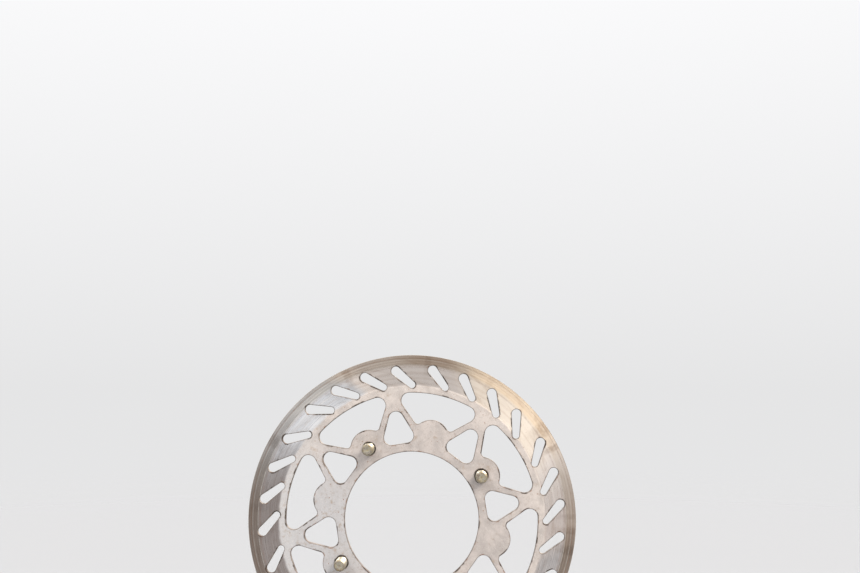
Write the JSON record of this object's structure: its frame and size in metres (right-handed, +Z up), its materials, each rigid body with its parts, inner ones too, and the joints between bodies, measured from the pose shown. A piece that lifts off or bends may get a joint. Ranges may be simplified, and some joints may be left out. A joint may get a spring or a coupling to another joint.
{
  "type": "brake disc rotor",
  "caption": "Flat round brake disc with a slotted friction ring, open windows round a lobed inner ring, a wide centre bore, and mounting bolts with spring washers.",
  "frame": {"origin": "on the disc's axis, in the hub-side face of the disc, where the hub arms bear", "axes": "+Y along the axis from the hub side to the side of the bolt heads, +X to the right and +Z up as seen from the hub side"},
  "size_m": [0.22, 0.0244, 0.22],
  "materials": {
    "rotor_steel": "ground stainless steel, worn bright and heat tinted where the pads run, with rust specks on the cut edges",
    "bolt_zinc": "yellow zinc plating, worn and slightly rusty",
    "washer_steel": "dull plated spring steel"
  },
  "bodies": {
    "root": {"rotor_disc": "rotor_steel", "disc_bolt_1": "bolt_zinc", "disc_bolt_2": "bolt_zinc", "disc_bolt_3": "bolt_zinc", "disc_bolt_4": "bolt_zinc", "spring_washer_1": "washer_steel", "spring_washer_2": "washer_steel", "spring_washer_3": "washer_steel", "spring_washer_4": "washer_steel"}
  },
  "joints": []
}
